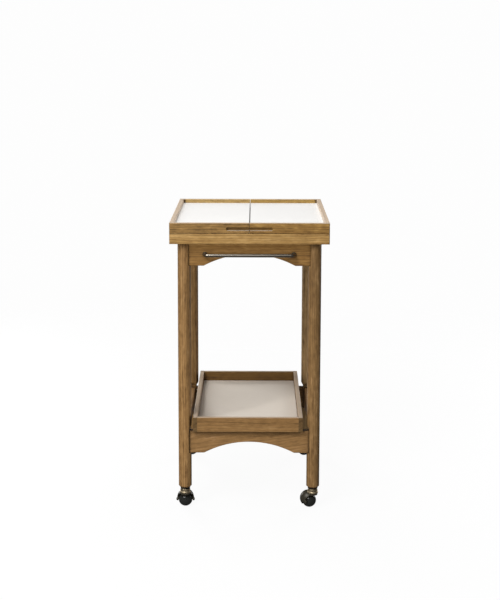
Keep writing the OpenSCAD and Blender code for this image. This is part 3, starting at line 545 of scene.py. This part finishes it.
whiteMelamine = dict(colour=(0.862, 0.852, 0.835, 1), speckle=0.012, roughness=0.42, wiped=0.35)
finishes = {
    "whiteBoard": panelMaterial("white_melamine", **whiteMelamine),
    "leafBoard": panelMaterial("white_leaf_melamine", seam=0.0016, **whiteMelamine),
    "greyBoard": panelMaterial("greige_melamine", linear(238, 228, 215), speckle=0.06, roughness=0.45,
                               joints=0.15),
    "barBlack": metalMaterial("black_bar_paint", (0.33, 0.295, 0.245, 1), (0.34, 0.305, 0.26, 1),
                              metallic=1.0, roughness=0.30, joints=1.0, grainy=0.0, cloudy=0.15),
    "darkSteel": metalMaterial("blackened_steel", (0.10, 0.10, 0.10, 1), (0.35, 0.35, 0.34, 1),
                               metallic=1.0, roughness=0.38),
    "brass": metalMaterial("satin_brass", (0.62, 0.45, 0.20, 1), (0.85, 0.70, 0.42, 1),
                           metallic=1.0, roughness=0.32),
    "bronze": metalMaterial("aged_bronze", (0.62, 0.51, 0.34, 1), (0.76, 0.66, 0.48, 1),
                            metallic=1.0, roughness=0.46, joints=0.9),
    "gunmetal": metalMaterial("hood_gunmetal", (0.045, 0.040, 0.028, 1), (0.12, 0.11, 0.085, 1),
                              metallic=0.3, roughness=0.34, cloudy=0.5),
    "ballBlack": metalMaterial("black_ball_plastic", (0.019, 0.020, 0.018, 1), (0.05, 0.05, 0.045, 1),
                               metallic=0.0, roughness=0.04, joints=0.9, grainy=0.04, cloudy=0.3),
}
nodeFinishes = {
    "whiteBoard": ["base_panel"],
    "leafBoard": ["leaf_left_panel", "leaf_right_panel"],
    "greyBoard": ["tray_floor"],
    "darkSteel": ["leg_bolts", "top_screws", "bar_screws", "caster_sleeves"],
    "brass": ["base_hinges", "base_hinge_screws", "leaf_left_hinges", "leaf_left_screws",
              "leaf_right_hinges", "leaf_right_screws"],
}
for finish, names in nodeFinishes.items():
    for nodeName in names:
        dress(nodes[nodeName], finishes[finish])
print("finishes on the boards, metal and plastic")


# A closed skin over rings of points: quads join ring to ring, and a looped skin joins the last ring to the
# first, while an open one ends in a fan at the middle of its end rings
def skin(grid, looped=False):
    rows, spokes = grid.shape[:2]
    row, column = np.meshgrid(np.arange(rows if looped else rows - 1), np.arange(spokes), indexing="ij")
    below, beside = (row + 1) % rows, (column + 1) % spokes
    quads = np.stack([row * spokes + column, row * spokes + beside, below * spokes + beside,
                      below * spokes + column], -1).reshape(-1, 4)
    points = grid.reshape(-1, 3)
    fans = np.zeros((0, 3), int)
    if not looped:
        around = np.arange(spokes)
        after, last = (around + 1) % spokes, (rows - 1) * spokes
        points = np.vstack([points, grid[0].mean(0), grid[-1].mean(0)])
        start, end = np.full(spokes, rows * spokes), np.full(spokes, rows * spokes + 1)
        fans = np.vstack([np.stack([start, after, around], -1),
                          np.stack([end, last + around, last + after], -1)])
    corners = np.vstack([quads[:, :3], quads[:, [0, 2, 3]], fans])
    a, b, c = (points[corners[:, k]] for k in range(3))
    faces = quads.tolist() + fans.tolist()
    if np.einsum("ij,ij->i", a, np.cross(b, c)).sum() < 0:
        faces = [face[::-1] for face in faces]
    return points, faces


# A profile of (radius, height) points carried once round the Z axis: (r cos t, r sin t, h)
def turned(profile, spokes, looped=False):
    angle = np.linspace(0, 2 * np.pi, spokes, endpoint=False)[None, :]
    radius, height = (np.asarray(profile, float).T[k][:, None] for k in range(2))
    grid = np.stack([radius * np.cos(angle), radius * np.sin(angle), height + 0 * angle], -1)
    return skin(grid, looped)


# The rounded form of a profile: each inner corner becomes a curve between the points at radius from it, or
# nearly half way to the next corner, (1-t)^2 a + 2t(1-t) corner + t^2 b
def eased(profile, radius, steps=5, most=0.45):
    profile = np.asarray(profile, float)
    corner = profile[1:-1]
    ends = []
    for way in (profile[:-2] - corner, profile[2:] - corner):
        length = np.linalg.norm(way, axis=1)[:, None]
        ends.append(corner + way / length * np.minimum(radius, most * length))
    a, b = ends
    t = np.linspace(0, 1, steps)[None, :, None]
    curve = (1 - t) ** 2 * a[:, None] + 2 * t * (1 - t) * corner[:, None] + t ** 2 * b[:, None]
    return np.vstack([profile[:1], curve.reshape(-1, 2), profile[-1:]])


def moved(part, turn, shift):
    points, faces = part
    return points @ np.array(turn.to_3x3()).T + np.asarray(shift, float), faces


sharpAngle = 38   # degrees between two faces from which their edge stays sharp


# One finished object made of closed skins, whose place is in its mesh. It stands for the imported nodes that
# it replaces
def makePiece(name, parts, material, body, replaced):
    points, faces, count = [], [], 0
    for part in parts:
        points.append(part[0])
        faces += [[index + count for index in face] for face in part[1]]
        count += len(part[0])
    mesh = bpy.data.meshes.new(name)
    mesh.from_pydata(np.vstack(points).tolist(), [], faces)
    mesh.polygons.foreach_set("use_smooth", np.ones(len(mesh.polygons), bool))
    mesh.set_sharp_from_angle(angle=math.radians(sharpAngle))
    mesh.materials.append(material)
    piece = bpy.data.objects.new(name, mesh)
    scene.collection.objects.link(piece)
    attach(piece, body)
    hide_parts(*replaced)


towelBar = {
    "thick": 0.010, "span": 0.251, "bend": 0.009, "axisY": -0.267, "axisZ": 0.7465,
    "spokes": 32, "bendSteps": 14, "endY": -0.2392, "endLead": 0.001, "endTaper": 0.8,
    "rosetteWide": 0.014, "rosetteThick": 0.002, "rosetteEase": 0.0014, "rosettePlay": 0.00005,
    "rosetteSpokes": 40, "faceY": -0.248,
    "rosetteShoulder": (0.45, 0.9),   # shares of its thickness between which its face rounds
}


# A circle carried along the bar's path: out of the apron, round a quarter bend, straight across and back in
def makeTowelBar(look):
    half, bend = look["span"] / 2, look["bend"]
    angle = np.linspace(0, np.pi / 2, look["bendSteps"])
    arc = np.stack([-half + bend - bend * np.cos(angle), bend - bend * np.sin(angle)], 1)
    deep = look["endY"] - look["axisY"]
    inward = np.array([[-half, deep], [-half, deep - look["endLead"]], [-half, (deep + bend) / 2]])
    left = np.vstack([inward, arc, [[-half / 3, 0]]])
    path = np.vstack([left, left[::-1] * (-1, 1)])
    way = np.gradient(path, axis=0)
    way /= np.linalg.norm(way, axis=1)[:, None]
    side = np.stack([-way[:, 1], way[:, 0]], 1)
    radius = np.full(len(path), look["thick"] / 2)
    radius[[0, -1]] *= look["endTaper"]
    turn = np.linspace(0, 2 * np.pi, look["spokes"], endpoint=False)
    across, upward = radius[:, None] * np.cos(turn), radius[:, None] * np.sin(turn)
    grid = np.stack([path[:, :1] + side[:, :1] * across, path[:, 1:] + side[:, 1:] * across + look["axisY"],
                     upward + look["axisZ"]], -1)
    return skin(grid)


# A rosette's section from its bore out over a rounded face to the board, turned round the bar's end
def makeRosette(look, x):
    inner, outer = look["thick"] / 2 + look["rosettePlay"], look["rosetteWide"] / 2
    thick, ease = look["rosetteThick"], look["rosetteEase"]
    low, high = (thick * share for share in look["rosetteShoulder"])
    section = [[inner, 0], [outer, 0], [outer, low], [outer - ease / 2, high],
               [outer - ease, thick], [inner, thick], [inner, thick / 2]]
    ring = turned(section, look["rosetteSpokes"], looped=True)
    return moved(ring, Matrix.Rotation(math.pi / 2, 4, "X"), (x, look["faceY"], look["axisZ"]))


makePiece("towelBarTube", [makeTowelBar(towelBar)],
          finishes["barBlack"], "frame", ["towel_bar"])
makePiece("towelBarRosettes", [makeRosette(towelBar, side * towelBar["span"] / 2) for side in (-1, 1)],
          finishes["gunmetal"], "frame", ["bar_flanges"])
print("towel bar made")

casters = {
    "axisX": 0.185, "axisY": 0.239, "turns": {"fl": 0, "fr": 60, "bl": 20, "br": 45},
    "bodies": {"fl": "front_left", "fr": "front_right", "bl": "back_left", "br": "back_right"},
    "spokes": {"hood": 72, "seat": 56, "boss": 32, "ball": 72, "axle": 32, "collar": 64},
    "steps": {"hood": 30, "lip": 18, "seat": 12, "ear": 17, "tab": 6, "ball": 61, "head": 8},
    "ballRadius": 0.020, "trail": 0.011, "grooveDeep": 0.00022, "grooveWide": 0.018,
    "recessWide": 0.003, "recessBevel": 0.0004, "recessDeep": 0.0012,
    "axleThick": 0.004, "axlePlay": 0.00005,
    "headWide": 1.5, "headHigh": 0.0009, "headNeck": 0.0002, "headGap": 0.12,
    "hoodInner": 0.0212, "hoodOuter": 0.024, "hoodTilt": 50, "hoodBack": 0.0035, "hoodUp": 0.0055,
    "poleGap": 0.04, "rimGap": 0.05,   # radians at the ends of the hood's arcs
    "lipRadius": 0.0017, "lipOut": 0.0001, "lipUp": 0.0006, "lipProud": 0.0003,
    "lipSweep": (0.35, -1.35),         # half turns round the lip's middle, from outside to inside
    "bossWide": 0.009, "bossOut": 0.002, "bossRoot": 0.0025, "bossBevel": 0.0006, "bossDish": 0.0003,
    "bossEase": 0.0003,
    "dishParts": (0.78, 0.76, 0.2),    # shares of the boss's radius: the dish's rim, foot and middle
    "core": 0.3,                       # share of a radius from which an end face is one flat fan
    "earLong": 0.008, "earIn": 0.0208, "earOut": 0.0245, "earEase": 0.0006, "earTaper": (0.96, 0.88),
    "seatRadius": 0.014, "seatThick": 0.0035, "seatBevel": 0.0008, "seatMiddle": 0.0006,
    "collarFoot": 0.0425, "collarWide": 0.032, "lowTier": 0.0075, "highTier": 0.008, "collarStep": 0.0015,
    "ringEase": 0.0016, "bulgeUp": 0.0036, "bulgeDown": 0.0022, "neckEase": 0.001, "collarEase": 0.0007,
    "coveDeep": 0.0008, "coveRises": (0.0002, 0.0010, 0.0018), "capDrop": 0.001, "capBevel": 0.0018,
    "stemThick": 0.008, "stemTop": 0.098, "stemEase": 0.002, "stemBevel": 0.0012,
    "notchDeep": 0.0006, "notchLow": 0.012, "notchHigh": 0.009, "notchSlant": 0.0005,
}


# The hood's section is the outer arc from the pole to the rim, part of a circle round the rolled lip, and
# the inner arc back to the pole; it is turned round the line square to the open face
def makeHood(look):
    outer, inner, lip = look["hoodOuter"], look["hoodInner"], look["lipRadius"]
    trail, high = look["trail"], look["ballRadius"]
    down = np.linspace(look["poleGap"], np.pi / 2 - look["rimGap"], look["steps"]["hood"])
    lipStart, lipEnd = (np.pi * halfTurns for halfTurns in look["lipSweep"])
    roundLip = np.linspace(lipStart, lipEnd, look["steps"]["lip"])
    outerArc = np.stack([outer * np.sin(down), outer * np.cos(down)], 1)
    bead = np.stack([(outer + inner) / 2 + look["lipOut"] + lip * np.cos(roundLip),
                     lip * np.sin(roundLip) + look["lipUp"]], 1)
    bead = bead[bead[:, 0] > inner - look["lipProud"]]
    innerArc = np.stack([inner * np.sin(down[::-1]), inner * np.cos(down[::-1])], 1)
    shell = turned(np.vstack([outerArc, bead, innerArc]), look["spokes"]["hood"])
    tilt = Matrix.Rotation(-math.radians(look["hoodTilt"]), 4, "X")
    parts = [moved(shell, tilt, (0, trail + look["hoodBack"], high + look["hoodUp"])), makeSeat(look)]
    for side in (-1, 1):
        parts.append(moved(makeBoss(look), Matrix.Rotation(side * math.pi / 2, 4, "Y"), (0, trail, high)))
        parts.append(moved(makeEar(look, side), tilt, (0, trail, high)))
    return parts


# The boss's section is a short bevelled cylinder with a shallow dish in its face, turned round the axle
def makeBoss(look):
    wide, face = look["bossWide"] / 2, look["hoodOuter"] + look["bossOut"]
    root, bevel, dish = look["hoodOuter"] - look["bossRoot"], look["bossBevel"], look["bossDish"]
    dishRim, dishFoot, dishMiddle = (wide * share for share in look["dishParts"])
    section = [[wide * look["core"], root], [wide, root], [wide, face - bevel], [wide - bevel, face],
               [dishRim, face], [dishFoot, face - dish], [dishMiddle, face - dish]]
    return turned(eased(section, look["bossEase"]), look["spokes"]["boss"])


# The seat under the collar is a flat disc with a bevelled edge, whose underside follows a sphere round the
# ball: z = centre + sqrt(R^2 - d^2), where d is how far the spot is from the ball's middle
def makeSeat(look):
    top, radius = look["collarFoot"], look["seatRadius"]
    bevel, middle = look["seatBevel"], look["seatMiddle"]
    upper = np.array([[middle, top], [radius - bevel, top], [radius, top - bevel]])
    reach = np.concatenate([upper[:, 0], np.linspace(radius, middle, look["steps"]["seat"])])[:, None]
    angle = np.linspace(0, 2 * np.pi, look["spokes"]["seat"], endpoint=False)[None, :]
    x, y = reach * np.cos(angle), reach * np.sin(angle)
    away = x ** 2 + (y - look["trail"]) ** 2
    ceiling = look["ballRadius"] + np.sqrt(np.maximum(look["hoodInner"] ** 2 - away, 0))
    height = np.maximum(top - look["seatThick"], ceiling)
    height[:len(upper)] = upper[:, 1:]
    return skin(np.stack([x, y, height], -1))


# The ear's outline is half a circle round the axle and a straight tab towards the shell. It lies across the
# axle, and shrinks a little towards its outer face, so that its edges are eased
def makeEar(look, side):
    wide, long = look["bossWide"] / 2, look["earLong"]
    turn = np.linspace(np.pi, 2 * np.pi, look["steps"]["ear"])
    around = np.stack([wide * np.cos(turn), wide * np.sin(turn)], 1)
    straight = np.linspace(0, long, look["steps"]["tab"])[1:]
    outline = np.vstack([around, np.stack([0 * straight + wide, straight], 1),
                         np.stack([0 * straight - wide, straight[::-1]], 1)])
    out, ease = look["earOut"], look["earEase"]
    shoulder, face = look["earTaper"]
    layers = ((look["earIn"], 1.0), (out - ease, 1.0), (out - ease / 3, shoulder), (out, face))
    return skin(np.stack([np.column_stack([np.full(len(outline), side * x), outline * size])
                          for x, size in layers]))


# The ball's section is a half circle with a hub recess at each end and a fine parting groove round its
# middle, where the radius dips by depth times exp(-(angle/width)^2); it is turned round the axle
def makeBall(look):
    radius, bore = look["ballRadius"], look["axleThick"] / 2 + look["axlePlay"]
    recess = bore + look["recessWide"]
    end = math.asin((recess + look["recessBevel"]) / radius)
    angle = np.linspace(end, np.pi - end, look["steps"]["ball"])
    dip = look["grooveDeep"] * np.exp(-((angle - np.pi / 2) / look["grooveWide"]) ** 2)
    arc = np.stack([(radius - dip) * np.sin(angle), (radius - dip) * np.cos(angle)], 1)
    hub = radius * math.cos(end) - look["recessDeep"]
    section = np.vstack([[[bore, 0], [bore, hub], [recess, hub]], arc, [[recess, -hub], [bore, -hub]]])
    ball = turned(section, look["spokes"]["ball"], looped=True)
    return moved(ball, Matrix.Rotation(math.pi / 2, 4, "Y"), (0, look["trail"], look["ballRadius"]))


# The axle's section is a pin with a domed rivet head at each end, turned round the axle's line
def makeAxle(look):
    pin, half = look["axleThick"] / 2, look["hoodOuter"] + look["bossOut"]
    neck = half - look["headNeck"]
    angle = np.linspace(look["headGap"], np.pi / 2, look["steps"]["head"])
    dome = np.stack([pin * look["headWide"] * np.sin(angle), half + look["headHigh"] * np.cos(angle)], 1)
    section = np.vstack([dome, [[pin, neck], [pin, 0], [pin, -neck]], dome[::-1] * (1, -1)])
    axle = turned(section, look["spokes"]["axle"])
    return moved(axle, Matrix.Rotation(math.pi / 2, 4, "Y"), (0, look["trail"], look["ballRadius"]))


# The collar's section is a bulging ring, a cove and a wide cap under a grooved stem, turned round the
# swivel axis
def makeCollar(look):
    foot, top = look["collarFoot"], look["stemTop"]
    wide, stem = look["collarWide"] / 2, look["stemThick"] / 2
    step = foot + look["lowTier"]
    neck = step + look["highTier"]
    capWide, ease, cove = wide - look["collarStep"], look["ringEase"], look["coveDeep"]
    neckEase, core = look["neckEase"], look["core"]
    ring = [[wide * core, foot], [wide - ease, foot], [wide - ease / 4, foot + ease],
            [wide, foot + look["bulgeUp"]], [wide - ease / 4, step - look["bulgeDown"]],
            [wide - ease, step - ease / 4]]
    coveFoot, coveTop, capFoot = (step + rise for rise in look["coveRises"])
    cap = [[capWide - cove, coveFoot], [capWide - cove, coveTop], [capWide, capFoot],
           [capWide - cove, neck - look["capDrop"]], [capWide - look["capBevel"], neck]]
    notch, slant = stem - look["notchDeep"], look["notchSlant"]
    notchLow, notchHigh = top - look["notchLow"], top - look["notchHigh"]
    shaft = [[stem + neckEase, neck], [stem, neck + neckEase], [stem, notchLow], [notch, notchLow + slant],
             [notch, notchHigh - slant], [stem, notchHigh], [stem, top - look["stemEase"]],
             [stem - look["stemBevel"], top], [stem * core, top]]
    return turned(eased(ring + cap + shaft, look["collarEase"]), look["spokes"]["collar"])


for corner, side in casters["bodies"].items():
    turn = Matrix.Rotation(math.radians(casters["turns"][corner]), 4, "Z")
    backward, rightward = (1 if letter in "br" else -1 for letter in corner)
    spot = (casters["axisX"] * rightward, casters["axisY"] * backward, 0)
    body, title = "caster_" + side, "caster" + side.title().replace("_", "")
    makePiece(title + "Collar", [moved(makeCollar(casters), turn, spot)],
              finishes["bronze"], body, [f"caster_{corner}_stem"])
    makePiece(title + "Hood", [moved(part, turn, spot) for part in makeHood(casters)],
              finishes["gunmetal"], body, [f"caster_{corner}_hood"])
    makePiece(title + "Axle", [moved(makeAxle(casters), turn, spot)],
              finishes["gunmetal"], body, [f"caster_{corner}_axle"])
    makePiece(title + "Ball", [moved(makeBall(casters), turn, spot)],
              finishes["ballBlack"], "ball_" + side, [f"caster_{corner}_ball"])
print("casters made")

studio = {
    "backdrop": 0.985,                      # what the camera sees behind the cart
    "ambient": 0.07,                        # light from all round
    "ambientColour": (1, 0.995, 0.985, 1),
    "aim": (0, 0, 0.45),                    # where the lights point
    "floorColour": 0.035, "floorSeen": 0.940,
    "floorGlow": 0.18,                      # what the floor gives to the cart
    "floorGloss": 0.05,                     # what the cart's glossy parts reflect of it
    "floorRough": 0.7, "floorShine": 0.05,
    "floorRadius": 3.2, "floorFade": (1.3, 2.9), "floorRings": 12, "floorSpokes": 64,
}
lights = {
    "key": dict(spot=(-1.26, -2.36, 2.90), size=1.6, power=100),
    "front": dict(spot=(-1.00, -3.70, 0.90), size=2.0, power=76, mirrored=False),
    "top": dict(spot=(0.00, 0.00, 3.20), size=1.3, power=33),
    "backLeft": dict(spot=(-1.90, 2.50, 1.20), size=1.6, power=60),
    "backRight": dict(spot=(2.10, 2.30, 1.20), size=1.6, power=42),
}


def makeWorld(look):
    world = bpy.data.worlds.new("studioWorld")
    scene.world = world
    world.use_nodes = True
    tree = world.node_tree
    tree.nodes.clear()
    seen = addNode(tree, "ShaderNodeBackground", {"Color": (1, 1, 1, 1), "Strength": look["backdrop"]})
    lit = addNode(tree, "ShaderNodeBackground",
                  {"Color": look["ambientColour"], "Strength": look["ambient"]})
    isCamera = tree.nodes.new("ShaderNodeLightPath").outputs["Is Camera Ray"]
    both = addNode(tree, "ShaderNodeMixShader", {0: isCamera, 1: lit.outputs[0], 2: seen.outputs[0]})
    addNode(tree, "ShaderNodeOutputWorld", {"Surface": both.outputs[0]})


def makeSoftbox(name, aim, spot, size, power, mirrored=True):
    data = bpy.data.lights.new(name, "AREA")
    data.shape = "SQUARE"
    data.size = size
    data.energy = power
    lamp = bpy.data.objects.new(name, data)
    lamp.location = spot
    lamp.rotation_mode = "QUATERNION"
    lamp.rotation_quaternion = (Vector(aim) - Vector(spot)).to_track_quat("-Z", "Y")
    lamp.visible_camera = False
    lamp.visible_glossy = mirrored
    scene.collection.objects.link(lamp)


# The floor's points are radius times (cos, sin) of the angle; far out it turns see-through, so that no
# horizon shows
def makeFloor(look):
    rings, spokes = look["floorRings"], look["floorSpokes"]
    radius = np.linspace(0, look["floorRadius"], rings + 1)[:, None]
    angle = np.linspace(0, 2 * np.pi, spokes, endpoint=False)[None, :]
    points = np.stack([radius * np.cos(angle), radius * np.sin(angle), np.zeros((rings + 1, spokes))], -1)
    row, column = np.meshgrid(np.arange(1, rings), np.arange(spokes), indexing="ij")
    after = (column + 1) % spokes
    quads = np.stack([row * spokes + column, (row + 1) * spokes + column, (row + 1) * spokes + after,
                      row * spokes + after], -1).reshape(-1, 4)
    mesh = bpy.data.meshes.new("studioFloor")
    centre = [list(range(spokes, 2 * spokes))]
    mesh.from_pydata(points.reshape(-1, 3).tolist(), [], quads.tolist() + centre)
    floor = bpy.data.objects.new("studioFloor", mesh)
    scene.collection.objects.link(floor)
    material, tree, shader = newMaterial("pale_floor")
    shader.inputs["Base Color"].default_value = (look["floorColour"],) * 3 + (1,)
    shader.inputs["Roughness"].default_value = look["floorRough"]
    shader.inputs["Emission Color"].default_value = (1, 1, 1, 1)
    shader.inputs["Specular IOR Level"].default_value = look["floorShine"]
    rays = tree.nodes.new("ShaderNodeLightPath").outputs
    gloss = look["floorGloss"]
    glow = calc(tree, "MULTIPLY_ADD", rays["Is Diffuse Ray"], look["floorGlow"] - gloss, gloss)
    glow = calc(tree, "MULTIPLY_ADD", rays["Is Camera Ray"], look["floorSeen"] - gloss, glow)
    tree.links.new(glow, shader.inputs["Emission Strength"])
    spot = tree.nodes.new("ShaderNodeTexCoord").outputs["Object"]
    fade = remap(tree, vectorCalc(tree, "LENGTH", spot)[1], *look["floorFade"])
    clear = tree.nodes.new("ShaderNodeBsdfTransparent").outputs[0]
    both = addNode(tree, "ShaderNodeMixShader", {0: fade, 1: shader.outputs[0], 2: clear})
    tree.links.new(both.outputs[0], tree.nodes["Material Output"].inputs["Surface"])
    mesh.materials.append(material)


makeWorld(studio)
for lamp, look in lights.items():
    makeSoftbox(lamp + "Light", studio["aim"], **look)
makeFloor(studio)
print("studio ready")
